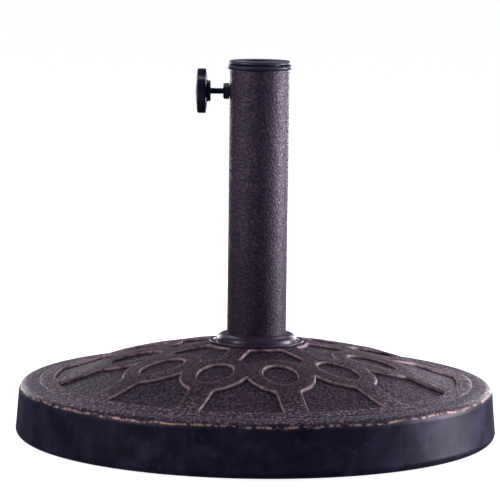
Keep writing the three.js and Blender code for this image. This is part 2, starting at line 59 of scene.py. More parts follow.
# Dome
BASE_RADIUS = 223.0
WALL_DRAFT = 0.086
SHELL_BOTTOM = 1.5
FOOT_ROUND = 7.0
RIM_Z = 50.2
RIM_ROUND = 9.0
RIM_START = RIM_Z - RIM_ROUND  # height where the wall turns into the rim's rounding
RING_FALL = 0.03  # the ring's fall for each millimetre outward
RING_INNER_RADIUS = 198.0
RING_INNER_Z = 51.1
PLATE_STEP = 0.9
PLATE_STEP_WIDTH = 2.6
HUB_RADIUS = 46.0
HUB_Z = 87.1
SHELL_WALL = 7.0
DENT_DEPTH = 0.32  # of the slow dents in the wall
SWELL_HEIGHT = 0.22  # of the slow swells in the field
GRAIN_HEIGHT = 0.07  # of the finer unevenness over them
SHELL_FOOT_EXTRA = 1.5  # the side wall is this much thicker at its lower edge
FIELD_LINE = [
    (RING_INNER_RADIUS, RING_INNER_Z + PLATE_STEP),
    (188, 53.4),
    (172, 57.9),
    (140, 69),
    (108, 76.6),
    (76, 81.9),
    (HUB_RADIUS, HUB_Z),
]

# Relief
RELIEF = 3.0
PETALS = 12
PETAL_PITCH = TURN / PETALS
PATTERN_TURN = math.radians(11.2)
PETAL_CENTRE_RADIUS = 112.5
PETAL_HALF_LENGTH = 38.0
PETAL_HALF_WIDTH = 31.0
OVAL_HALF_LENGTH = 22.8
OVAL_HALF_WIDTH = 15.2
OUTER_SPOKE_WIDTH = 22.8
INNER_SPOKE_WIDTH = 19.5
PANEL_OUTER_RADIUS = 186.0
RELIEF_HUB_RADIUS = 47.5
RELIEF_FILLET = 3.0

# Tube and socket
TUBE_RADIUS = 27.4
TUBE_WALL = 2.0
TUBE_TOP = 338.9
HAMMER_DEPTH = 0.05
SOCKET_FLOOR = 60.0
SOCKET_RADIUS = TUBE_RADIUS + 0.4
SOCKET_WALL = 6.2
SOCKET_OUTER = SOCKET_RADIUS + SOCKET_WALL
SOCKET_ROOM = SOCKET_OUTER + GAP  # hole for the socket in the shell and in the concrete
SOCKET_UNDERSIDE = SOCKET_FLOOR - 7.0
BOLT_HOLE_RADIUS = 5.6
CORE_BOTTOM = 3.0
PIT_DEPTH = 1.6
UNDERSIDE_WAVE = 0.12
COUNTERBORE_RADIUS = 19.0
COUNTERBORE_TOP = 26.0
END_PLATE_RADIUS = 25.1

# Anchor: an M10 bolt with its nut and washers
BOLT_RADIUS = 5.0
BOLT_PITCH = 1.5
BOLT_HEAD_HEIGHT = 6.4
BOLT_PLAIN_LENGTH = 24.0
HEX_ACROSS_FLATS = 17.0
FLAT_WASHER_RADII = (5.5, 15.0)
SPRING_WASHER_RADII = (5.4, 9.0)
SPLIT_HALF_WIDTH = 0.7
SPLIT_SLANT = 1.2

# Collar, end ring and reducer
COLLAR_RADIUS = 43.6
COLLAR_SHOULDER_RADIUS = 37.6
COLLAR_TOP = 96.0
COLLAR_RIM_THICKNESS = 1.6
COLLAR_EDGE = 0.6  # flat between the shoulder's top and the tube
COLLAR_GROOVE_DEPTH = 0.7
END_RING_RADIUS = 29.7
END_RING_HEIGHT = 3.8
SPIGOT_LENGTH = 14.0
SPIGOT_WALL = 1.3
REDUCER_LIP_RADIUS = 28.5
REDUCER_LIP_THICKNESS = 3.1
REDUCER_LIP_ROUND = 2.4
REDUCER_TOP = 347.2
POLE_BORE_RADIUS = 19.5
POLE_MOUTH = 1.2
REDUCER_WALL = 2.0
REDUCER_BOTTOM = 290.0
REDUCER_RIBS = 8
SCREW_SLOT_WIDTH = 9.0
SCREW_SLOT_RISE = 6.0  # the slot's top above the clamp's axis

# Clamp; reaches are outward from the tube's axis
CLAMP_Z = 318.8
SCREW_RADIUS = 3.0
SCREW_PITCH = 1.0
SCREW_HOLE_PLAY = 0.5
BOSS_REACH = 33.3
BOSS_ACROSS_CORNERS = 15.0
BOSS_CHAMFER = 1.3
BOSS_CHAMFER_RUN = 1.5
TIP_REACH = 24.6
TIP_RADIUS = 2.4
TIP_LENGTH = 2.4
TIP_STEM_RADIUS = 1.1
TIP_STEM_LENGTH = 4.0
HUB_FACE_REACH = 44.8
GRIP_FACE_REACH = 49.0
KNOB_OUTER_REACH = 57.9
KNOB_HUB_RADIUS = 9.5
KNOB_RADIUS = 20.5
KNOB_LOBES = 6
LOBE_DEPTH = 4.4
GRIP_BACK_ROUND = 1.1
GRIP_FRONT_ROUND = 1.5
GRIP_CROWN = 0.9  # rise of the grip's face from its edge to the cap
SCREW_HEAD_SEAT = 51.4
SCREW_HEAD_ACROSS_FLATS = 10.0
SCREW_HEAD_HEIGHT = 4.0
KNOB_CAP_RADIUS = 7.6
KNOB_CAP_THICKNESS = 1.6

# Fineness
DOME_SEGMENTS = 480
ROUND_SEGMENTS = 192
WEDGE_RADII = 305
WEDGE_BEARINGS = 121
WEDGE_SIDE_POINTS = 77
CONTOUR_SPACING = 0.8
FILL_SPACING = 3.0
SMOOTH_BELOW = 38  # degrees between two faces that are shaded as one

# ---- outlines and turned solids


def rounded(corners, steps=5):
    """A closed outline through (across, along, fillet) corners, with each fillet as an arc."""
    points = []
    for index, (across, along, fillet) in enumerate(corners):
        here = Vector((across, along))
        if fillet <= 0:
            points.append(tuple(here))
            continue
        back = (Vector(corners[index - 1][:2]) - here).normalized()
        ahead = (Vector(corners[(index + 1) % len(corners)][:2]) - here).normalized()
        half = back.angle(ahead) / 2
        reach = fillet / math.tan(half)
        centre = here + (back + ahead).normalized() * fillet / math.sin(half)
        start = here + back * reach - centre
        end = here + ahead * reach - centre
        for step in range(steps + 1):
            points.append(tuple(centre + start.lerp(end, step / steps).normalized() * fillet))
    return points


def arc(centre_r, centre_z, radius, start, end, steps):
    """Points of an arc between two angles in degrees."""
    angles = np.radians(np.linspace(start, end, steps + 1))
    return list(zip(centre_r + radius * np.cos(angles), centre_z + radius * np.sin(angles)))


def bearings_round(segments):
    """Angles all the way round an axis."""
    return np.linspace(0, TURN, segments, endpoint=False)


def stacked(rows, segments):
    """Radii and heights of rings, from rows of (radius, height), each a number or one for each segment."""
    return tuple(np.array([np.broadcast_to(row[part], segments) for row in rows], float) for part in (0, 1))


def ring_stack(radii, heights, closed):
    """Vertices and faces of a skin through rings; rows run along the outline and columns round the axis.

    A closed stack joins its last ring to its first; an open one is closed by a fan at each end.
    """
    rows, segments = radii.shape
    angles = bearings_round(segments)
    points = np.stack([radii * np.cos(angles), radii * np.sin(angles), heights], axis=-1).reshape(-1, 3)
    here = np.arange(rows * segments).reshape(rows, segments)
    above = np.roll(here, -1, axis=0) if closed else here[1:]
    below = here[: len(above)]
    corners = [below, np.roll(below, -1, axis=1), np.roll(above, -1, axis=1), above]
    faces = np.stack(corners, axis=-1).reshape(-1, 4).tolist()
    if not closed:
        first = len(points)
        beside = np.roll(here, -1, axis=1)
        points = np.vstack([points, [0, 0, heights[0].mean()], [0, 0, heights[-1].mean()]])
        faces += [[first, beside[0, k], here[0, k]] for k in range(segments)]
        faces += [[first + 1, here[-1, k], beside[-1, k]] for k in range(segments)]
    return points, faces


def turned(profile, segments, closed=True):
    """A profile of (radius, height) points turned about the axis."""
    return ring_stack(*stacked(profile, segments), closed)


def subdivided(profile, longest):
    """The profile with points added so that no closed-loop edge is longer than this."""
    points = []
    for (r0, z0), (r1, z1) in zip(profile, profile[1:] + profile[:1]):
        count = max(1, math.ceil(math.hypot(r1 - r0, z1 - z0) / longest))
        points += [(r0 + (r1 - r0) * k / count, z0 + (z1 - z0) * k / count) for k in range(count)]
    return points


def hexagon_radius(across_flats, angles, turn=0.0):
    """Radius of a hexagon with slightly softened corners, at each angle."""
    hardness = 34
    total = sum(np.abs(np.cos(angles - turn - k * TURN / 6)) ** hardness for k in range(3))
    return across_flats / 2 / total ** (1 / hardness)


def hexagon_corner(across_flats):
    return across_flats / math.sqrt(3)


def bell(values, centre, width):
    """1 at the centre, falling away to either side."""
    return np.exp(-(((values - centre) / width) ** 2))


# ---- objects


def mesh_object(name, points, faces, smooth_below=SMOOTH_BELOW):
    """A mesh object from points in millimetres, smooth but for edges sharper than the angle."""
    mesh = bpy.data.meshes.new(name)
    mesh.from_pydata((np.asarray(points) * MM).tolist(), [], faces)
    made = bpy.data.objects.new(name, mesh)
    bpy.context.scene.collection.objects.link(made)
    outward(made)
    shade(made, smooth_below)
    return made


def outward(made):
    """Joins doubled points and turns the faces outward."""
    work = bmesh.new()
    work.from_mesh(made.data)
    bmesh.ops.remove_doubles(work, verts=work.verts, dist=1e-7)
    bmesh.ops.recalc_face_normals(work, faces=work.faces)
    work.to_mesh(made.data)
    work.free()


def shade(made, smooth_below):
    """Smooth shading, but for edges sharper than the angle in degrees."""
    made.data.polygons.foreach_set("use_smooth", [True] * len(made.data.polygons))
    made.data.set_sharp_from_angle(angle=math.radians(smooth_below))


def clamp_object(name, points, faces, smooth_below=SMOOTH_BELOW):
    """A piece made along +Z outward from the tube's axis, laid along the clamp's axis."""
    laid = np.stack([-points[:, 2], points[:, 1], points[:, 0] + CLAMP_Z], axis=-1)
    return mesh_object(name, laid, faces, smooth_below)


def cut(made, cutter):
    """Takes the cutter's solid out of an object and removes the cutter."""
    modifier = made.modifiers.new("cut", "BOOLEAN")
    modifier.operation = "DIFFERENCE"
    modifier.object = cutter
    evaluated = made.evaluated_get(bpy.context.evaluated_depsgraph_get())
    mesh = bpy.data.meshes.new_from_object(evaluated)
    made.modifiers.clear()
    made.data = mesh
    bpy.data.objects.remove(cutter)
    shade(made, SMOOTH_BELOW)


def fit(made, material, body, slot, *nodes):
    """Dresses a piece, sets it on its body and lets it stand for its CAD nodes."""
    made.data.materials.clear()
    made.data.materials.append(material)
    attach(made, body)
    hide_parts(*nodes)
    return made


def node_box(node):
    """A CAD node's lowest and highest corners in millimetres."""
    return [np.array(corner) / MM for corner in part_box(node)]


def coordinates(made):
    """An object's vertices in millimetres."""
    points = np.empty(len(made.data.vertices) * 3)
    made.data.vertices.foreach_get("co", points)
    return points.reshape(-1, 3) / MM


def move_to(made, points):
    """Sets an object's vertices, in millimetres."""
    made.data.vertices.foreach_set("co", (points * MM).ravel())
    made.data.update()


def paint(made, name, values):
    """Stores one number for each vertex, for the material to read."""
    attribute = made.data.attributes.new(name, "FLOAT", "POINT")
    attribute.data.foreach_set("value", np.asarray(values, np.float32))


def waves(points, size, seed=0.0):
    """Smooth noise from -1 to 1 at each point, with features of about this size."""
    offset = Vector((seed, seed * 1.7, seed * 0.6))
    return np.array([noise.noise(Vector(p) / size + offset) for p in points])


def fade(values, start, end):
    """0 at start, 1 at end, smooth between."""
    t = np.clip((values - start) / (end - start), 0, 1)
    return t * t * (3 - 2 * t)


# ---- the dome's surface


def spline(corners, steps):
    """Points of a Catmull-Rom curve through the corners."""
    points = []
    last = len(corners) - 1
    for k in range(last):
        p = [np.array(corners[min(max(k + j, 0), last)], float) for j in (-1, 0, 1, 2)]
        for t in np.arange(steps) / steps:
            slope_in, slope_out = (p[2] - p[0]) / 2, (p[3] - p[1]) / 2
            a = 2 * p[1] - 2 * p[2] + slope_in + slope_out
            b = -3 * p[1] + 3 * p[2] - 2 * slope_in - slope_out
            points.append(((a * t + b) * t + slope_in) * t + p[1])
    return np.array(points + [np.array(corners[-1], float)])


field_line = spline(FIELD_LINE, 12)[::-1]


def field_height(radius):
    return np.interp(radius, field_line[:, 0], field_line[:, 1])


def wall_radius(z):
    return BASE_RADIUS - WALL_DRAFT * z


# ---- relief


def ellipse_depth(x, y, half_length, half_width):
    """Distance in from an ellipse's edge, negative outside it."""
    near = np.hypot(x / half_length, y / half_width)
    steep = np.hypot(x / half_length**2, y / half_width**2)
    return near * (1 - near) / np.maximum(steep, 1e-9)


def soft_union(a, b):
    """The deeper of two depths, with a fillet where they meet."""
    h = np.maximum(RELIEF_FILLET - np.abs(a - b), 0) / RELIEF_FILLET
    return np.maximum(a, b) + h * h * RELIEF_FILLET / 4


def relief_depth(radius, bearing):
    """Distance in from the raised pattern's edge, negative over the sunken panels and ovals.

    The bearing runs from a petal with an inner spoke, at 0, to its neighbour without one, at PETAL_PITCH.
    """
    depth = soft_union(radius - PANEL_OUTER_RADIUS, RELIEF_HUB_RADIUS - radius)
    ovals = np.full_like(depth, -1e3)
    for petal in (0, 1):
        x = radius * np.cos(bearing - petal * PETAL_PITCH)
        y = np.abs(radius * np.sin(bearing - petal * PETAL_PITCH))
        past = x - PETAL_CENTRE_RADIUS
        depth = soft_union(depth, ellipse_depth(past, y, PETAL_HALF_LENGTH, PETAL_HALF_WIDTH))
        depth = soft_union(depth, np.minimum(OUTER_SPOKE_WIDTH / 2 - y, past))
        if petal == 0:
            depth = soft_union(depth, np.minimum(INNER_SPOKE_WIDTH / 2 - y, -past))
        ovals = np.maximum(ovals, ellipse_depth(past, y, OVAL_HALF_LENGTH, OVAL_HALF_WIDTH))
    return np.minimum(depth, -ovals)


# Distances in from the raised pattern's edge, each with the drop of the surface there
EDGE_SECTION = [(-1.0, RELIEF), (-0.5, 2.78), (-0.22, 2.2), (0.12, 1.0), (0.5, 0.28), (1.0, 0.0)]


def relief_drop(depth):
    """How far the surface lies below the raised pattern at a distance in from its edge."""
    distances, drops = zip(*EDGE_SECTION)
    return np.interp(depth, distances, drops)


def contour_lines(values, level):
    """Lines along which a grid's values pass a level, in grid steps."""
    above = values > level
    mixed = above[:-1, :-1].astype(int) + above[1:, :-1] + above[:-1, 1:] + above[1:, 1:]
    links = {}
    for i, j in zip(*np.nonzero((mixed > 0) & (mixed < 4))):
        i, j = int(i), int(j)
        corners = [(i, j), (i + 1, j), (i + 1, j + 1), (i, j + 1)]
        sides = [(corners[k], corners[(k + 1) % 4]) for k in range(4)]
        crossed = [tuple(sorted(side)) for side in sides if above[side[0]] != above[side[1]]]
        if len(crossed) == 4 and above[i, j] != (values[i : i + 2, j : j + 2].mean() > level):
            crossed = crossed[1:] + crossed[:1]
        for a, b in zip(crossed[::2], crossed[1::2]):
            links.setdefault(a, []).append(b)
            links.setdefault(b, []).append(a)

    def place(side):
        low, high = values[side[0]], values[side[1]]
        share = (level - low) / (high - low)
        return [side[0][axis] + share * (side[1][axis] - side[0][axis]) for axis in (0, 1)]

    lines = []
    for start in sorted(links, key=lambda side: (len(links[side]), side)):
        if not links[start]:
            continue
        chain = [start]
        while links[chain[-1]]:
            following = links[chain[-1]].pop()
            links[following].remove(chain[-1])
            chain.append(following)
        lines.append(np.array([place(side) for side in chain]))
    return lines


def evenly(line, spacing):
    """The line with points a spacing apart, keeping its ends."""
    lengths = np.hypot(*np.diff(line, axis=0).T)
    along = np.concatenate([[0], np.cumsum(lengths)])
    stations = np.linspace(0, along[-1], max(3, round(along[-1] / spacing)) + 1)
    return np.stack([np.interp(stations, along, line[:, axis]) for axis in (0, 1)], axis=-1)


def relief_wedge():
    """Plan points and triangles of the patterned field from one petal's axis to the next one's."""
    radii = np.linspace(HUB_RADIUS, RING_INNER_RADIUS, WEDGE_RADII)
    bearings = np.linspace(0, PETAL_PITCH, WEDGE_BEARINGS)
    depth = relief_depth(*np.meshgrid(radii, bearings, indexing="ij"))
    points, edges, sides = [], [], {0: [], 1: []}

    def add_line(line):
        first = len(points)
        points.extend(map(tuple, line))
        edges.extend((first + k, first + k + 1) for k in range(len(line) - 1))

    def plan(radius, bearing):
        return np.stack([radius * np.cos(bearing), radius * np.sin(bearing)], axis=-1)

    for level, _ in EDGE_SECTION:
        for line in contour_lines(depth, level):
            radius = np.interp(line[:, 0], np.arange(len(radii)), radii)
            bearing = line[:, 1] * PETAL_PITCH / (len(bearings) - 1)
            line = evenly(plan(radius, bearing), CONTOUR_SPACING)
            add_line(line)
            for end in (0, -1):
                for side in (0, 1):
                    if abs(bearing[end] - side * PETAL_PITCH) < 1e-9:
                        sides[side].append(radius[end])
    for side in (0, 1):
        taken = np.array(sides[side])
        spare = np.linspace(HUB_RADIUS, RING_INNER_RADIUS, WEDGE_SIDE_POINTS)
        apart = np.abs(spare[1:-1, None] - taken[None, :]).min(axis=1) > 0.3 * FILL_SPACING
        whole = np.sort(np.concatenate([spare[[0, -1]], spare[1:-1][apart], taken]))
        add_line(plan(whole, np.full_like(whole, side * PETAL_PITCH)))
    arc_bearings = np.linspace(0, PETAL_PITCH, DOME_SEGMENTS // PETALS + 1)
    for radius in (HUB_RADIUS, RING_INNER_RADIUS):
        add_line(plan(np.full_like(arc_bearings, radius), arc_bearings))
    fixed = np.array(points)
    fill_radii = np.arange(HUB_RADIUS + 2.5, RING_INNER_RADIUS - 1.5, 0.87 * FILL_SPACING)
    for row, radius in enumerate(fill_radii):
        count = max(2, round(radius * PETAL_PITCH / FILL_SPACING))
        filling = plan(radius, (np.arange(count) + 0.25 + 0.5 * (row % 2)) / count * PETAL_PITCH)
        for point in filling:
            if np.abs(fixed - point).max(axis=1).min() > 0.45 * FILL_SPACING:
                points.append(tuple(point))
    corners, _, triangles, *_ = delaunay_2d_cdt([Vector(p) for p in points], edges, [], 1, 1e-6)
    return np.array([tuple(c) for c in corners]), np.array([list(t) for t in triangles])


def relief_field():
    """The whole patterned field in plan: the wedge, mirrored and turned round the axis."""
    plan, triangles = relief_wedge()
    all_points, all_faces = [], []
    for k in range(PETALS // 2):
        turn = PATTERN_TURN + 2 * k * PETAL_PITCH
        rotation = np.array([[math.cos(turn), math.sin(turn)], [-math.sin(turn), math.cos(turn)]])
        for mirror in (1, -1):
            first = sum(len(p) for p in all_points)
            all_points.append((plan * [1, mirror]) @ rotation)
            all_faces.append(triangles[:, ::mirror] + first)
    return np.vstack(all_points), np.vstack(all_faces)


def depth_at(points):
    """Relief depth at points in plan, anywhere round the dome."""
    radius = np.hypot(points[:, 0], points[:, 1])
    bearing = np.arctan2(points[:, 1], points[:, 0]) - PATTERN_TURN
    folded = np.abs((bearing + PETAL_PITCH) % (2 * PETAL_PITCH) - PETAL_PITCH)
    return radius, relief_depth(radius, folded)


# ---- the base


def inside_line(clearance, bottom):
    """The inside of the shell, pushed in by a clearance: the line the concrete is cast against."""
    offset = SHELL_WALL + clearance
    under_field = [(r, float(field_height(r)) - offset) for r in (176, 160, 144, 126, 108, 92, 76)]
    return [
        (wall_radius(SHELL_BOTTOM) - offset - SHELL_FOOT_EXTRA, bottom),
        (wall_radius(RIM_START) - offset, RIM_START - clearance),
        (RING_INNER_RADIUS, RING_INNER_Z - offset),
        *under_field,
        (SOCKET_ROOM, HUB_Z - offset),
    ]


def skirt_line():
    """The shell's section from the field's edge over the ring, down the wall and back inside to the hub."""
    step = [
        (
            RING_INNER_RADIUS + PLATE_STEP_WIDTH * t,
            RING_INNER_Z + PLATE_STEP * (1 - float(fade(np.array(t), 0, 1))),
        )
        for t in (0.0, 0.2, 0.4, 0.6, 0.8, 1.0)
    ]
    foot_top = SHELL_BOTTOM + FOOT_ROUND
    ring = [(r, RING_INNER_Z - RING_FALL * (r - RING_INNER_RADIUS)) for r in (203, 205.5, 208)]
    rim = arc(wall_radius(RIM_START) - RIM_ROUND, RIM_START, RIM_ROUND, 88, 2, 16)
    wall = [(wall_radius(z), z) for z in np.linspace(RIM_START - 2, foot_top + 1, 15)]
    foot = arc(wall_radius(foot_top) - FOOT_ROUND, foot_top, FOOT_ROUND, -2, -90, 7)
    hub = [(SOCKET_ROOM, HUB_Z), (HUB_RADIUS, HUB_Z)]
    return step + ring + rim + wall + foot + inside_line(0, SHELL_BOTTOM) + hub


def dome_shell():
    """The cast shell: the patterned field in one mesh with the ring, the wall and the inside."""
    plan, triangles = relief_field()
    radius, depth = depth_at(plan)
    top = np.column_stack([plan, field_height(radius) - relief_drop(depth)])
    skirt = np.array(skirt_line())
    angles = np.arange(DOME_SEGMENTS) * TURN / DOME_SEGMENTS + PATTERN_TURN
    shape = (len(skirt), DOME_SEGMENTS)
    radii, heights = skirt[:, :1], np.broadcast_to(skirt[:, 1:], shape)
    around = np.stack([radii * np.cos(angles), radii * np.sin(angles), heights], axis=-1).reshape(-1, 3)
    here = np.arange(len(around)).reshape(shape) + len(top)
    beside = np.roll(here, -1, axis=1)
    quads = np.stack([here[:-1], here[1:], beside[1:], beside[:-1]], axis=-1).reshape(-1, 4)
    made = mesh_object("base_dome", np.vstack([top, around]), triangles.tolist() + quads.tolist(), 70)
    roughen_dome(made)
    return made


def roughen_dome(made):
    """Cast unevenness on the outside, and the numbers that the material reads."""
    points = coordinates(made)
    radius, depth = depth_at(points)
    lowest_outside = field_height(np.minimum(radius, RING_INNER_RADIUS)) - RELIEF - 1.5
    outside = (points[:, 2] > lowest_outside) & (radius > SOCKET_ROOM + 1)
    on_field = outside & (radius < RING_INNER_RADIUS + 0.01)
    beyond_inside = np.maximum(wall_radius(RIM_Z) - RIM_ROUND - 4, wall_radius(0) - SHELL_WALL)
    wall = ~outside & (radius > beyond_inside)
    swell = SWELL_HEIGHT * waves(points, 24, 3) + GRAIN_HEIGHT * waves(points, 5.5, 8)
    points[:, 2] += np.where(on_field & (radius > HUB_RADIUS + 0.5), swell, 0)
    held = fade(points[:, 2], 3, 12) * (1 - fade(points[:, 2], 40, 50))
    dents = DENT_DEPTH * (waves(points, 34, 5) - 1) * held
    points[:, :2] *= (1 + np.where(wall, dents, 0) / radius.clip(1))[:, None]
    move_to(made, points)
    # The rim band is partly copper wear and partly a painted highlight, set at the tilt of the rounding where
    # the lamps reflect
    rim_across = radius - (wall_radius(RIM_START) - RIM_ROUND)
    rim_angle = np.degrees(np.arctan2(points[:, 2] - RIM_START, rim_across))
    line_angle = 36 + 9 * waves(points, 16, 11)
    line_width = 5.5 + 2.0 * waves(points, 27, 12)
    paint(made, "edge", bell(depth, 0.35, 0.42) * on_field)
    # Painted shade: the relief's walls and the corners at their feet are darkened where shade falls
    paint(made, "crevice_shade", bell(depth, -0.75, 0.5) * on_field)
    paint(made, "rim", bell(rim_angle, line_angle, line_width) * (radius > 208))
    paint(made, "sunk", on_field * (1 - fade(depth, -1.1, -0.2)))
    paint(made, "sand", fade(points[:, 2], 46, 50) * (1 - 0.3 * fade(radius, 197, 200)))
    paint(made, "slope", on_field * (1 - fade(np.abs(depth), 0.7, 1.7)))
    paint(made, "worn", fade(radius, 150, RING_INNER_RADIUS + 4))


def ballast():
    """The concrete filling, with pits and slow waves in its underside."""
    line = inside_line(GAP, CORE_BOTTOM) + [
        (SOCKET_ROOM, SOCKET_UNDERSIDE - GAP),
        (BOLT_HOLE_RADIUS, SOCKET_UNDERSIDE - GAP),
        (BOLT_HOLE_RADIUS, COUNTERBORE_TOP),
        (COUNTERBORE_RADIUS, COUNTERBORE_TOP),
        (COUNTERBORE_RADIUS, CORE_BOTTOM),
    ]
    made = mesh_object("ballast_fill", *turned(subdivided(line, 4.0), 240), 50)
    points = coordinates(made)
    radius = np.hypot(points[:, 0], points[:, 1])
    underside = (points[:, 2] < CORE_BOTTOM + 0.01) & (radius > COUNTERBORE_RADIUS + 1)
    pits = np.maximum(0, waves(points, 9, 2) + 0.1) ** 2 * PIT_DEPTH
    pits += UNDERSIDE_WAVE * (1 + waves(points, 30, 6))
    points[:, 2] += np.where(underside, pits, 0)
    move_to(made, points)
    return made


def tube_socket():
    """The cup in the middle of the concrete that the tube stands in."""
    corners = [
        (BOLT_HOLE_RADIUS, SOCKET_UNDERSIDE, 0.3),
        (SOCKET_OUTER, SOCKET_UNDERSIDE, 1.5),
        (SOCKET_OUTER, HUB_Z, 0.5),
        (SOCKET_RADIUS, HUB_Z, 0.8),
        (SOCKET_RADIUS, SOCKET_FLOOR, 0.6),
        (BOLT_HOLE_RADIUS, SOCKET_FLOOR, 0.3),
    ]
    return mesh_object("socket_cup", *turned(subdivided(rounded(corners), 3.0), 160))


def foot_pad(name):
    """A rubber disc with two grooves in its tread, placed on its CAD node."""
    low, high = node_box(name)
    radius = (high[0] - low[0]) / 2
    height = high[2]
    groove = 0.7
    corners = [
        (0.01, groove, 0),
        (4.0, groove, 0.3),
        (4.5, 0, 0.2),
        (7.5, 0, 0.2),
        (7.9, groove, 0.3),
        (9.1, groove, 0.3),
        (9.5, 0, 0.2),
        (radius - 0.6, 0, 0.5),
        (radius, 1.0, 0.5),
        (radius, height, 0.3),
        (0.01, height, 0),
    ]
    points, faces = turned(rounded(corners, 3), 64)
    points[:, :2] += ((low + high) / 2)[:2]
    return mesh_object(name + "_tread", points, faces)


# ---- the tube and its anchor


def tube():
    """The upright, with the screw's hole and faint hammer marks on its outside."""
    inner = TUBE_RADIUS - TUBE_WALL
    bottom = SOCKET_FLOOR + GAP
    corners = [
        (inner, bottom, 0.2),
        (TUBE_RADIUS, bottom, 0.3),
        (TUBE_RADIUS, TUBE_TOP, 0.4),
        (inner, TUBE_TOP, 0.3),
    ]
    line = subdivided(rounded(corners, 2), 1.6)
    made = mesh_object("tube_wall", *turned(line, ROUND_SEGMENTS))
    hole = SCREW_RADIUS + SCREW_HOLE_PLAY
    cut(made, clamp_object("screw_hole", *turned([(hole, 10), (hole, TUBE_RADIUS + 5)], 48, closed=False)))
    points = coordinates(made)
    radius = np.hypot(points[:, 0], points[:, 1])
    hammered = HAMMER_DEPTH * (waves(points, 2.6, 4) - 1) + HAMMER_DEPTH * (waves(points, 7, 9) - 1)
    outside = (radius > TUBE_RADIUS - 0.2) & (points[:, 2] > HUB_Z) & (points[:, 2] < TUBE_TOP - 1)
    points[:, :2] *= 1 + (np.where(outside, hammered, 0) / radius)[:, None]
    move_to(made, points)
    return made


def collar():
    """A thin rim on the dome, a shallow groove, and a rounded shoulder that closes on the tube."""
    bottom = HUB_Z + GAP
    rim_top = bottom + COLLAR_RIM_THICKNESS
    groove_floor = rim_top - COLLAR_GROOVE_DEPTH
    inner = TUBE_RADIUS + GAP
    shoulder_start = inner + COLLAR_EDGE
    shoulder_rise = COLLAR_TOP - rim_top
    shoulder_run = COLLAR_SHOULDER_RADIUS - shoulder_start
    shoulder = [
        (shoulder_start + shoulder_run * math.cos(a), rim_top + shoulder_rise * math.sin(a))
        for a in np.radians(np.linspace(0, 88, 15))
    ]
    corners = [
        (inner, bottom, 0.2),
        (COLLAR_RADIUS, bottom, 0.5),
        (COLLAR_RADIUS, rim_top, 0.7),
        (COLLAR_SHOULDER_RADIUS + 2.4, rim_top, 0.5),
        (COLLAR_SHOULDER_RADIUS + 1.8, groove_floor, 0.25),
        (COLLAR_SHOULDER_RADIUS + 0.1, groove_floor, 0.3),
        (COLLAR_SHOULDER_RADIUS, rim_top + 0.3, 0),
    ]
    line = rounded(corners) + shoulder[1:] + [(inner, COLLAR_TOP - 0.1)]
    return mesh_object("collar_trim", *turned(line, ROUND_SEGMENTS))


def end_ring():
    """The flanged ring on the tube's end, with its spigot inside the tube."""
    bottom = TUBE_TOP + GAP
    top = bottom + END_RING_HEIGHT
    spigot_outer = TUBE_RADIUS - TUBE_WALL - GAP
    spigot_inner = spigot_outer - SPIGOT_WALL
    corners = [
        (spigot_inner, bottom - SPIGOT_LENGTH, 0.3),
        (spigot_outer, bottom - SPIGOT_LENGTH, 0.6),
        (spigot_outer, bottom, 0.2),
        (END_RING_RADIUS - 0.9, bottom, 0.7),
        (END_RING_RADIUS, bottom + 1.3, 0.9),
        (END_RING_RADIUS, top - 1.6, 0.9),
        (END_RING_RADIUS - 1.1, top, 1.0),
        (spigot_inner, top, 0.5),
    ]
    return mesh_object("end_ring_trim", *turned(rounded(corners), ROUND_SEGMENTS))


def reducer():
    """The ribbed bush under its lip, with a slot that is open below."""
    lip_bottom = REDUCER_TOP - REDUCER_LIP_THICKNESS
    sleeve_outer = POLE_BORE_RADIUS + REDUCER_WALL
    rib_radius = TUBE_RADIUS - TUBE_WALL - GAP - SPIGOT_WALL - GAP
    corners = [
        (POLE_BORE_RADIUS, REDUCER_BOTTOM, 0.3),
        (sleeve_outer, REDUCER_BOTTOM, 0.4),
        (sleeve_outer, REDUCER_BOTTOM + 2, 0),
        (sleeve_outer, REDUCER_BOTTOM + 2.6, 0),
        (sleeve_outer, lip_bottom - 0.2, 0),
        (sleeve_outer, lip_bottom, 0),
        (REDUCER_LIP_RADIUS, lip_bottom, 0.4),
        (REDUCER_LIP_RADIUS, REDUCER_TOP, REDUCER_LIP_ROUND),
        (POLE_BORE_RADIUS + POLE_MOUTH, REDUCER_TOP, 0.6),
        (POLE_BORE_RADIUS, REDUCER_TOP - POLE_MOUTH, 0.6),
    ]
    radii, heights = stacked(rounded(corners, 4), 2 * ROUND_SEGMENTS)
    pitch = TURN / REDUCER_RIBS
    across = np.abs(bearings_round(2 * ROUND_SEGMENTS) % pitch - pitch / 2) * rib_radius
    on_sleeve = np.abs(radii - sleeve_outer) < 0.05
    on_sleeve &= (heights > REDUCER_BOTTOM + 2.1) & (heights < lip_bottom - 0.1)
    radii += on_sleeve * (1 - fade(across, 0.85, 1.5)) * (rib_radius - sleeve_outer)
    made = mesh_object("pole_reducer_bush", *ring_stack(radii, heights, True))
    half = SCREW_SLOT_WIDTH / 2
    slot_centre = CLAMP_Z + SCREW_SLOT_RISE - half
    outline = [(-half, REDUCER_BOTTOM - 2)]
    outline += [(half * math.cos(a), slot_centre + half * math.sin(a)) for a in np.linspace(math.pi, 0, 17)]
    outline += [(half, REDUCER_BOTTOM - 2)]
    count = len(outline)
    box = [(x, y, z) for x in (-REDUCER_LIP_RADIUS - 2, -POLE_BORE_RADIUS + 6) for y, z in outline]
    sides = [[k, (k + 1) % count, (k + 1) % count + count, k + count] for k in range(count)]
    ends = [list(range(count)), list(range(2 * count - 1, count - 1, -1))]
    cut(made, mesh_object("slot", box, sides + ends))
    return made


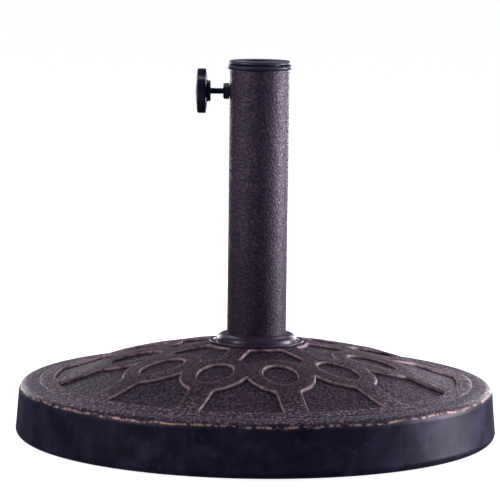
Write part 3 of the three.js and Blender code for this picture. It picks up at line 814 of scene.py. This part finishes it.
def threaded(crest, pitch, start, end, segments):
    """Radii and heights of a thread between two heights, with its crest run out at both ends."""
    rows_per_pitch, depth_per_pitch = 10, 0.61
    flat = 0.12  # at the crest and at the root, as a share of half a pitch
    stations = np.linspace(start, end, max(2, round((end - start) / pitch * rows_per_pitch)))[:, None]
    phase = (stations / pitch - bearings_round(segments) / TURN) % 1
    ridge = (1 - np.abs(2 * phase - 1) - flat) / (1 - 2 * flat)
    run_out = fade(np.minimum(stations - start, end - stations) / pitch, 0, 1)
    depth = depth_per_pitch * pitch
    radii = crest - depth + depth * np.clip(ridge, 0, 1) * run_out
    return radii, np.repeat(stations, segments, axis=1)


def rod(segments, start, thread, end):
    """Points and faces of a closed rod: rows of (radius, height) on either side of a thread."""
    below, above = stacked(start, segments), stacked(end, segments)
    radii, heights = (np.vstack(part) for part in zip(below, thread, above))
    return ring_stack(radii, heights, False)


def anchor_bolt():
    """The bolt, head down: a chamfered hexagon, a plain shank and a cut thread."""
    low, high = (corner[2] for corner in node_box("anchor_bolt"))
    segments = 72
    flats = hexagon_radius(HEX_ACROSS_FLATS, bearings_round(segments))
    corner = hexagon_corner(HEX_ACROSS_FLATS)
    head_top = low + BOLT_HEAD_HEIGHT
    chamfer, chamfer_run = 1.1, 1.9
    head = [(6.5, low)]
    for share in (0.0, 0.3, 0.6, 1.0):
        head.append((np.minimum(flats, corner - chamfer_run * (1 - share)), low + chamfer * share))
    head += [(flats, head_top - 0.5), (np.minimum(flats, 8.2), head_top)]
    head += [(BOLT_RADIUS, head_top), (BOLT_RADIUS - 0.05, head_top + 0.3)]
    thread = threaded(BOLT_RADIUS, BOLT_PITCH, head_top + BOLT_PLAIN_LENGTH, high - 0.8, segments)
    end = [(BOLT_RADIUS - 1.0, high - 0.2), (BOLT_RADIUS - 1.4, high)]
    return mesh_object("anchor_bolt_m10", *rod(segments, head, thread, end))


def anchor_nut():
    """A nut with its corners turned off at both faces and a countersunk hole."""
    low, high = (corner[2] for corner in node_box("anchor_nut"))
    segments = 144
    bore, countersink, chamfer = BOLT_RADIUS + GAP, 0.6, 1.1
    flats = hexagon_radius(HEX_ACROSS_FLATS, bearings_round(segments))
    rows = [(bore, low + countersink), (bore + countersink, low)]
    for share in (0.0, 0.25, 0.5, 0.75, 1.0):
        cone = hexagon_corner(HEX_ACROSS_FLATS) - chamfer * 1.7 * (1 - share)
        rows.append((np.minimum(flats, cone), low + chamfer * share))
    rows += [(radius, high + low - height) for radius, height in rows[:1:-1]]
    rows += [(bore + countersink, high), (bore, high - countersink)]
    return mesh_object("anchor_nut_m10", *turned(rows, segments))


def washer(node, inner, outer, name):
    """A flat ring with softened edges that fills its CAD node's height."""
    low, high = (corner[2] for corner in node_box(node))
    line = rounded([(inner, low, 0.2), (outer, low, 0.5), (outer, high, 0.5), (inner, high, 0.2)], 3)
    return mesh_object(name, *turned(line, 96))


def split_washer():
    """The spring washer: a ring with a slanted split."""
    low, high = (corner[2] for corner in node_box("lock_washer"))
    made = washer("lock_washer", *SPRING_WASHER_RADII, "spring_washer")
    corners = [
        (x, shift + side * SPLIT_HALF_WIDTH, z)
        for x in (2.0, 12.0)
        for z, shift in ((low - 1, -SPLIT_SLANT), (high + 1, SPLIT_SLANT))
        for side in (-1, 1)
    ]
    sides = [[0, 1, 3, 2], [4, 6, 7, 5], [0, 4, 5, 1], [2, 3, 7, 6], [0, 2, 6, 4], [1, 5, 7, 3]]
    cut(made, mesh_object("split", corners, sides))
    return made


# ---- the clamp


def boss():
    """A hexagonal boss hollowed at the back to sit on the tube, with its corners turned off at the face."""
    angles = bearings_round(ROUND_SEGMENTS)
    flats = hexagon_radius(BOSS_ACROSS_CORNERS * math.sqrt(3) / 2, angles, TURN / 12)
    seat = TUBE_RADIUS + GAP
    bore = SCREW_RADIUS + GAP
    rows = [(bore, BOSS_REACH - 0.5), (bore + 0.5, BOSS_REACH)]
    for share in (0.0, 0.2, 0.4, 0.6, 0.8, 1.0):
        turned_off = BOSS_ACROSS_CORNERS / 2 - BOSS_CHAMFER_RUN * (1 - share) ** 1.5
        rows.append((np.minimum(flats, turned_off), BOSS_REACH - BOSS_CHAMFER * share))
    rows.append((flats, BOSS_REACH - 3))
    rows += [(radius, np.sqrt(seat**2 - (radius * np.sin(angles)) ** 2)) for radius in (flats, bore)]
    return clamp_object("clamp_boss_hex", *turned(rows, ROUND_SEGMENTS), 32)


def thrust_tip():
    """The nylon tip: a blunt nose that meets the pole, and a stem in the screw's end."""
    back = TIP_REACH + TIP_LENGTH
    line = [
        (0.4, TIP_REACH),
        (TIP_RADIUS * 0.5, TIP_REACH + 0.1),
        (TIP_RADIUS * 0.75, TIP_REACH + 0.35),
        (TIP_RADIUS * 0.92, TIP_REACH + 0.8),
        (TIP_RADIUS, TIP_REACH + 1.5),
        (TIP_RADIUS, back - 0.2),
        (TIP_RADIUS - 0.2, back),
        (TIP_STEM_RADIUS, back),
        (TIP_STEM_RADIUS, back + TIP_STEM_LENGTH - 0.2),
        (TIP_STEM_RADIUS - 0.2, back + TIP_STEM_LENGTH),
    ]
    return clamp_object("thrust_tip_nylon", *turned(line, 48, closed=False))


def screw():
    """The screw: a stem hole at its tip, a cut thread and a hexagonal head inside the knob."""
    segments = 48
    tip_side = TIP_REACH + TIP_LENGTH + GAP
    head_end = SCREW_HEAD_SEAT + SCREW_HEAD_HEIGHT
    flats = hexagon_radius(SCREW_HEAD_ACROSS_FLATS, bearings_round(segments))
    hole = TIP_STEM_RADIUS + GAP
    start = [(hole, tip_side + TIP_STEM_LENGTH + GAP), (hole, tip_side), (SCREW_RADIUS - 0.8, tip_side)]
    thread = threaded(SCREW_RADIUS, SCREW_PITCH, tip_side + 0.3, SCREW_HEAD_SEAT - 2, segments)
    head = [
        (SCREW_RADIUS - 0.3, SCREW_HEAD_SEAT),
        (flats - 0.2, SCREW_HEAD_SEAT),
        (flats, SCREW_HEAD_SEAT + 0.3),
        (flats, head_end - 0.7),
        (np.minimum(flats, SCREW_HEAD_ACROSS_FLATS / 2 - 0.1), head_end),
    ]
    return clamp_object("clamp_screw_m6", *rod(segments, start, thread, head), 50)


def knob():
    """A six-lobed grip whose back slopes in to a round hub, with a seat for the cap in its face."""
    angles = bearings_round(288)
    mean = KNOB_RADIUS - LOBE_DEPTH / 2
    wave = np.cos(KNOB_LOBES * angles)
    outline = mean + LOBE_DEPTH / 2 * (wave + 0.12 * (wave**2 - 1))
    steep = np.sqrt(1 + (np.gradient(outline, angles) / outline) ** 2)

    def grip(inset, height):
        """A ring that keeps an even distance in from the lobed outline."""
        return outline - inset * steep, height

    bore = SCREW_RADIUS + GAP
    pocket = hexagon_corner(SCREW_HEAD_ACROSS_FLATS) + GAP
    cap_seat = KNOB_CAP_RADIUS + GAP
    seat_floor = KNOB_OUTER_REACH - KNOB_CAP_THICKNESS
    rows = [
        (bore, SCREW_HEAD_SEAT - GAP),
        (bore, HUB_FACE_REACH + 0.3),
        (bore + 0.3, HUB_FACE_REACH),
        (KNOB_HUB_RADIUS - 0.6, HUB_FACE_REACH),
        (KNOB_HUB_RADIUS - 0.15, HUB_FACE_REACH + 0.2),
        (KNOB_HUB_RADIUS, HUB_FACE_REACH + 0.7),
        (KNOB_HUB_RADIUS, GRIP_FACE_REACH - 1.9),
        (KNOB_HUB_RADIUS + 0.25, GRIP_FACE_REACH - 1.4),
        (KNOB_HUB_RADIUS + 0.9, GRIP_FACE_REACH - 1.15),
        grip(6.2, GRIP_FACE_REACH - 0.75),
        grip(3.2, GRIP_FACE_REACH - 0.2),
    ]
    for angle in np.radians((90, 65, 40, 20, 0)):
        inset = GRIP_BACK_ROUND * (1 - math.cos(angle))
        rows.append(grip(inset, GRIP_FACE_REACH + GRIP_BACK_ROUND * (1 - math.sin(angle))))
    crown_start = KNOB_OUTER_REACH - GRIP_CROWN
    for angle in np.radians((0, 18, 36, 54, 72, 88)):
        inset = GRIP_FRONT_ROUND * (1 - math.cos(angle))
        rows.append(grip(inset, crown_start - GRIP_FRONT_ROUND * (1 - math.sin(angle))))
    rows += [
        grip(3.4, crown_start + 0.28),
        grip(6.0, crown_start + 0.55),
        (cap_seat + 1.6, KNOB_OUTER_REACH - 0.05),
        (cap_seat + 0.4, KNOB_OUTER_REACH - 0.02),
        (cap_seat, KNOB_OUTER_REACH - 0.35),
        (cap_seat, seat_floor),
        (pocket, seat_floor),
        (pocket, SCREW_HEAD_SEAT - GAP),
    ]
    return clamp_object("star_knob", *turned(rows, len(angles)))


def knob_cap():
    """A low domed disc pressed into the knob's face."""
    back = KNOB_OUTER_REACH - KNOB_CAP_THICKNESS + GAP
    line = [(0.4, back), (KNOB_CAP_RADIUS - 0.2, back), (KNOB_CAP_RADIUS, back + 0.2)]
    line += [(KNOB_CAP_RADIUS, KNOB_OUTER_REACH - 0.25), (KNOB_CAP_RADIUS - 0.35, KNOB_OUTER_REACH + 0.02)]
    line += [(KNOB_CAP_RADIUS * t, KNOB_OUTER_REACH + 0.55 * (1 - t**2)) for t in (0.85, 0.7, 0.5, 0.3, 0.12)]
    return clamp_object("knob_cap_disc", *turned(line, 96, closed=False))


# ---- materials


def put(tree, socket, value):
    """Gives an input a value, or links another node's output to it."""
    if isinstance(value, bpy.types.NodeSocket):
        tree.links.new(value, socket)
    else:
        socket.default_value = value


def add(tree, kind, settings=None, **inputs):
    """Adds a shader node; an input is a value or another node's output."""
    made = tree.nodes.new("ShaderNode" + kind)
    for key, value in (settings or {}).items():
        setattr(made, key, value)
    for key, value in inputs.items():
        put(tree, made.inputs[key.replace("_", " ")], value)
    return made


def blank_material(name):
    """A material with nothing in it but its output; returns it, its tree and the output's socket."""
    material = bpy.data.materials.new(name)
    material.use_nodes = True
    material.node_tree.nodes.clear()
    output = add(material.node_tree, "OutputMaterial")
    return material, material.node_tree, output.inputs["Surface"]


class Finish:
    """A material with one Principled shader, and the nodes that feed it."""

    def __init__(self, name, **shader):
        self.material, self.tree, end = blank_material(name)
        self.surface = self.add("BsdfPrincipled", **shader)
        self.tree.links.new(self.surface.outputs[0], end)
        self.place = self.add("TexCoord").outputs["Object"]

    def add(self, kind, settings=None, **inputs):
        return add(self.tree, kind, settings, **inputs)

    def grain(self, size, detail, roughness=0.55, distortion=0.0):
        """Noise with features of about this size in millimetres, from 0 to 1."""
        shape = {"Detail": detail, "Roughness": roughness, "Distortion": distortion}
        return self.add("TexNoise", Vector=self.place, Scale=1 / (size * MM), **shape).outputs["Fac"]

    def cells(self, size):
        """Distance from the middle of the nearest cell, for cells of about this size in millimetres."""
        scale = 1 / (size * MM)
        return self.add("TexVoronoi", {"feature": "F1"}, Vector=self.place, Scale=scale).outputs["Distance"]

    def ramp(self, value, low, high, start=0.0, end=1.0):
        """Maps low..high to start..end, clamped."""
        limits = {"From_Min": low, "From_Max": high, "To_Min": start, "To_Max": end}
        return self.add("MapRange", {"clamp": True}, Value=value, **limits).outputs["Result"]

    def plus(self, a, b, operation="ADD"):
        made = self.add("Math", {"operation": operation})
        put(self.tree, made.inputs[0], a)
        put(self.tree, made.inputs[1], b)
        return made.outputs[0]

    def times(self, a, b):
        return self.plus(a, b, "MULTIPLY")

    def mix(self, share, first, second):
        """Mixes two colours, each an (r, g, b) or a node's output."""
        first, second = (c if isinstance(c, bpy.types.NodeSocket) else (*c, 1) for c in (first, second))
        return self.add("MixRGB", Fac=share, Color1=first, Color2=second).outputs["Color"]

    def painted(self, name):
        """A number that paint() stored at the vertices."""
        return self.add("Attribute", {"attribute_name": name}).outputs["Fac"]

    def made(self, colour, height, depth, roughness=None):
        """Feeds the shader; a height from 0 to 1 stands for a bump of this depth in millimetres."""
        bump = self.add("Bump", Height=height, Distance=depth * MM, Strength=1.0)
        feeds = {"Base Color": colour, "Normal": bump.outputs["Normal"], "Roughness": roughness}
        for name, value in feeds.items():
            if value is not None:
                self.tree.links.new(value, self.surface.inputs[name])
        return self.material


def cast_bronze():
    """Sand-cast resin in antique bronze: gritty on the field, smooth on the wall, rubbed on its edges."""
    f = Finish("cast_bronze", Metallic=0.15, Specular_IOR_Level=0.22)
    grit = f.grain(2.1, 2, 0.7)
    specks = f.grain(2.8, 2, 0.6)
    patches = f.ramp(f.grain(22, 3, 0.6), 0.35, 0.7)
    clouds = f.grain(34, 4, 0.7)
    sand = f.painted("sand")
    # Raised pattern and ring: dark between the grains, with pale worn grains towards the rim
    raised = f.mix(f.ramp(grit, 0.42, 0.60), (0.005, 0.002, 0.006), (0.084, 0.040, 0.070))
    worn_grains = f.times(f.ramp(specks, 0.54, 0.64), f.ramp(f.painted("worn"), 0, 1, 0.15, 0.9))
    raised = f.mix(worn_grains, raised, (0.58, 0.42, 0.52))
    raised = f.mix(f.times(patches, 0.35), raised, (0.030, 0.018, 0.038))
    sunk = f.mix(f.ramp(grit, 0.42, 0.62), (0.006, 0.003, 0.010), (0.104, 0.060, 0.104))
    # Wall: smooth and bluish, with faint clouds
    smooth = f.mix(patches, (0.018, 0.014, 0.034), (0.046, 0.038, 0.084))
    smooth = f.mix(f.ramp(clouds, 0.52, 0.68, 0, 0.5), smooth, (0.104, 0.094, 0.190))
    colour = f.mix(sand, smooth, f.mix(f.painted("sunk"), raised, sunk))
    # Painted shade in the crevices, metal showing on the rubbed edges, and a broken copper line round the rim
    # that is partly a painted highlight
    colour = f.mix(f.times(f.painted("crevice_shade"), 0.85), colour, (0.004, 0.002, 0.006))
    rubbing = f.ramp(f.grain(8, 3, 0.6), 0.32, 0.54, 0.15, 0.95)
    colour = f.mix(f.times(f.painted("edge"), rubbing), colour, (0.66, 0.48, 0.53))
    # The rim's copper line: copper wear with a painted highlight
    dashes = f.times(f.ramp(f.grain(6, 4, 0.7), 0.46, 0.55), f.ramp(clouds, 0.3, 0.5, 0.35, 1))
    colour = f.mix(f.times(f.painted("rim"), dashes), colour, (1.0, 0.66, 0.50))
    sparkle = f.times(sand, f.ramp(grit, 0.42, 0.60, 0.22, -0.08))
    roughness = f.plus(f.ramp(sand, 0, 1, 0.40, 0.60), sparkle)
    height = f.times(grit, f.ramp(sand, 0, 1, 0.10, 1.0))
    height = f.times(height, f.ramp(f.painted("slope"), 0, 1, 1.0, 0.2))
    return f.made(colour, height, 0.7, roughness)


def hammered_bronze():
    """A speckled hammered coating with painted shade that darkens it towards the foot: small dark cells among
    pinkish flecks.
    """
    f = Finish("hammered_bronze", Metallic=0.35)
    flecks = f.grain(2.0, 2, 0.65, 0.5)
    patches = f.grain(16, 3, 0.6)
    height_up = f.add("SeparateXYZ", Vector=f.place).outputs["Z"]
    colour = f.mix(f.ramp(flecks, 0.36, 0.62), (0.036, 0.036, 0.088), (0.190, 0.124, 0.160))
    colour = f.mix(f.ramp(flecks, 0.58, 0.72, 0, 0.7), colour, (0.42, 0.31, 0.34))
    colour = f.mix(f.ramp(patches, 0.3, 0.7, 0, 0.4), colour, (0.052, 0.048, 0.092))
    # Painted shade: darker towards the foot, where the dome keeps light off the tube
    colour = f.mix(f.ramp(height_up, 0.08, 0.24, 0.62, 0.0), colour, (0.018, 0.012, 0.022))
    height = f.plus(f.ramp(f.cells(2.0), 0, 0.8), f.times(flecks, 0.8))
    return f.made(colour, height, 0.22, f.ramp(flecks, 0.3, 0.7, 0.58, 0.46))


def moulded_black(name, dark, light, roughness, size, depth):
    """Black moulding or coating with a fine grain and a slight unevenness of shine."""
    f = Finish(name, Metallic=0.0)
    fine = f.grain(size, 3)
    uneven = f.ramp(f.grain(9, 2), 0.3, 0.7, roughness - 0.05, roughness + 0.08)
    return f.made(f.mix(f.ramp(fine, 0.35, 0.7), dark, light), fine, depth, uneven)


def plated_steel(name, dark, light):
    """Bright or blued steel with fine lathe marks and faint stains."""
    f = Finish(name, Metallic=0.95)
    stains = f.ramp(f.grain(6, 3), 0.35, 0.7)
    f.place = f.add("Mapping", Vector=f.place, Scale=(6.0, 1.0, 1.0)).outputs["Vector"]
    marks = f.grain(1.2, 3)
    return f.made(f.mix(stains, dark, light), marks, 0.03, f.ramp(marks, 0.3, 0.7, 0.28, 0.43))


def concrete():
    """Rough grey concrete with stones under its skin and damp stains."""
    f = Finish("concrete_fill", Metallic=0.0, Roughness=0.92)
    sandy = f.grain(1.4, 5, 0.7)
    stains = f.ramp(f.grain(40, 4), 0.35, 0.7, 0, 0.5)
    colour = f.mix(f.ramp(sandy, 0.3, 0.7), (0.26, 0.25, 0.235), (0.50, 0.485, 0.455))
    colour = f.mix(stains, colour, (0.33, 0.32, 0.30))
    return f.made(colour, f.plus(sandy, f.times(f.cells(7), 0.6)), 0.8)


def rubber():
    f = Finish("pad_rubber", Roughness=0.85)
    colour = f.mix(f.ramp(f.grain(5, 3), 0.3, 0.7), (0.016, 0.016, 0.016), (0.035, 0.034, 0.033))
    return f.made(colour, f.grain(0.6, 3), 0.08)


def nylon():
    f = Finish("natural_nylon", Roughness=0.45, Subsurface_Weight=0.15)
    colour = f.mix(f.ramp(f.grain(2, 3), 0.3, 0.7), (0.60, 0.57, 0.48), (0.72, 0.69, 0.60))
    return f.made(colour, f.grain(0.4, 2), 0.03)


# ---- assembly


def build_object():
    """Makes each piece and fits it in place of its CAD node."""
    concrete_grey, pad_rubber, nylon_cream = concrete(), rubber(), nylon()
    bronze, hammered = cast_bronze(), hammered_bronze()
    zinc = plated_steel("zinc_steel", (0.42, 0.43, 0.45), (0.62, 0.63, 0.66))
    blued = plated_steel("blued_steel", (0.08, 0.08, 0.19), (0.24, 0.25, 0.44))
    gloss = moulded_black("collar_gloss", (0.038, 0.026, 0.052), (0.078, 0.058, 0.108), 0.33, 1.2, 0.05)
    satin = moulded_black("cap_satin", (0.050, 0.047, 0.095), (0.098, 0.092, 0.160), 0.36, 0.9, 0.03)
    coated = moulded_black("boss_coating", (0.006, 0.005, 0.014), (0.016, 0.014, 0.032), 0.46, 0.7, 0.06)
    grained = moulded_black("knob_grain", (0.006, 0.005, 0.024), (0.018, 0.015, 0.058), 0.56, 0.6, 0.09)

    fit(dome_shell(), bronze, "base", "cast_bronze", "base_shell")
    fit(ballast(), concrete_grey, "base", "concrete", "ballast_core")
    for k in range(1, 7):
        fit(foot_pad(f"foot_pad_{k}"), pad_rubber, "base", "pad_rubber", f"foot_pad_{k}")
    fit(tube(), hammered, "base", "hammered_bronze", "upright_tube")
    end_plate = washer("tube_end_plate", BOLT_HOLE_RADIUS, END_PLATE_RADIUS, "end_plate")
    fit(end_plate, zinc, "base", "zinc_steel", "tube_end_plate")
    fit(anchor_nut(), zinc, "base", "zinc_steel", "anchor_nut")
    fit(anchor_bolt(), zinc, "base", "zinc_steel", "anchor_bolt")
    flat_washer = washer("anchor_washer", *FLAT_WASHER_RADII, "flat_washer")
    fit(flat_washer, zinc, "base", "zinc_steel", "anchor_washer")
    fit(split_washer(), zinc, "base", "zinc_steel", "lock_washer")
    fit(collar(), gloss, "base", "collar_black", "base_collar")
    fit(tube_socket(), gloss, "base", "collar_black", "tube_socket")
    fit(end_ring(), satin, "base", "cap_black", "tube_end_ring")
    fit(reducer(), satin, "reducer_bush", "cap_black", "pole_reducer")
    fit(boss(), coated, "base", "boss_black", "clamp_boss")
    fit(thrust_tip(), nylon_cream, "thrust_tip", "nylon", "screw_tip")
    fit(screw(), blued, "knob_and_screw", "screw_steel", "clamp_screw")
    fit(knob(), grained, "knob_and_screw", "knob_black", "clamp_knob")
    fit(knob_cap(), grained, "knob_and_screw", "knob_black", "knob_cap")


# ---- studio


def pale_floor():
    """A wide pale floor that shows white and still takes a soft shadow."""
    size, steps, drop = 60000.0, 24, 0.05
    line = np.linspace(-size / 2, size / 2, steps + 1)
    points = [(x, y, -drop) for y in line for x in line]
    here = np.arange(len(points)).reshape(steps + 1, steps + 1)
    corners = [here[:-1, :-1], here[:-1, 1:], here[1:, 1:], here[1:, :-1]]
    floor = mesh_object("studio_floor", points, np.stack(corners, axis=-1).reshape(-1, 4).tolist())
    material, tree, end = blank_material("studio_white")
    glow = add(tree, "Emission", Color=(1, 1, 1, 1), Strength=0.93)
    matt = add(tree, "BsdfDiffuse", Color=(0.72, 0.72, 0.72, 1))
    both = add(tree, "AddShader")
    tree.links.new(glow.outputs[0], both.inputs[0])
    tree.links.new(matt.outputs[0], both.inputs[1])
    tree.links.new(both.outputs[0], end)
    floor.data.materials.append(material)
    floor.visible_glossy = False
    floor.visible_diffuse = False


LIGHT_TARGET = (0, 0, 0.12)
# Name, place in metres, width, height, power and colour of each light
SOFTBOXES = [
    ("key_right", (1.6, 0.22, 0.40), 0.7, 0.9, 28, (1.0, 0.94, 1.0)),
    ("fill_left", (-1.9, -1.0, 1.3), 0.35, 1.2, 18, (1.0, 0.82, 0.82)),
    ("edge_left", (-0.9, 1.9, 0.45), 0.6, 0.6, 11, (1.0, 0.93, 1.0)),
    ("edge_right", (0.9, 1.9, 0.45), 0.6, 0.6, 16, (0.97, 0.92, 1.0)),
    ("back_top", (0.0, 1.5, 2.0), 2.4, 0.8, 16, (0.98, 0.94, 1.0)),
]


def softbox(name, place, width, height, power, colour):
    """A rectangular light that faces the object."""
    light = bpy.data.lights.new(name, "AREA")
    light.shape = "RECTANGLE"
    light.size, light.size_y = width, height
    light.energy = power
    light.color = colour
    lamp = bpy.data.objects.new(name, light)
    bpy.context.scene.collection.objects.link(lamp)
    lamp.location = place
    lamp.rotation_euler = (Vector(LIGHT_TARGET) - Vector(place)).to_track_quat("-Z", "Y").to_euler()


def studio():
    """A dim bluish surround with the softboxes round the object."""
    scene = bpy.context.scene
    scene.view_settings.view_transform = "Standard"
    scene.world = bpy.data.worlds.new("studio")
    scene.world.use_nodes = True
    background = scene.world.node_tree.nodes["Background"]
    background.inputs["Color"].default_value = (0.66, 0.80, 1.12, 1)
    background.inputs["Strength"].default_value = 0.115
    for settings in SOFTBOXES:
        softbox(*settings)


def camera():
    """The eye stands 2.58 m in front of the tube's axis, looks a little down and is rolled slightly."""
    distance, height = 2.58274, 0.48317
    yaw, pitch, roll = -0.0026833, 0.119783, 0.0126089
    data = bpy.data.cameras.new("camera")
    data.sensor_width = 36
    data.lens = 203.07
    data.clip_end = 200
    eye = bpy.data.objects.new("camera", data)
    bpy.context.scene.collection.objects.link(eye)
    level = Vector((math.sin(yaw), math.cos(yaw), 0))
    forward = level * math.cos(pitch) - Vector((0, 0, math.sin(pitch)))
    right = Vector((math.cos(yaw), -math.sin(yaw), 0))
    up = right.cross(forward)
    rolled_right = right * math.cos(roll) + up * math.sin(roll)
    rolled_up = up * math.cos(roll) - right * math.sin(roll)
    turn = Matrix((rolled_right, rolled_up, -forward)).transposed().to_4x4()
    eye.matrix_world = Matrix.Translation((0, -distance, height)) @ turn
    bpy.context.scene.camera = eye


camera()
studio()
pale_floor()
build_object()
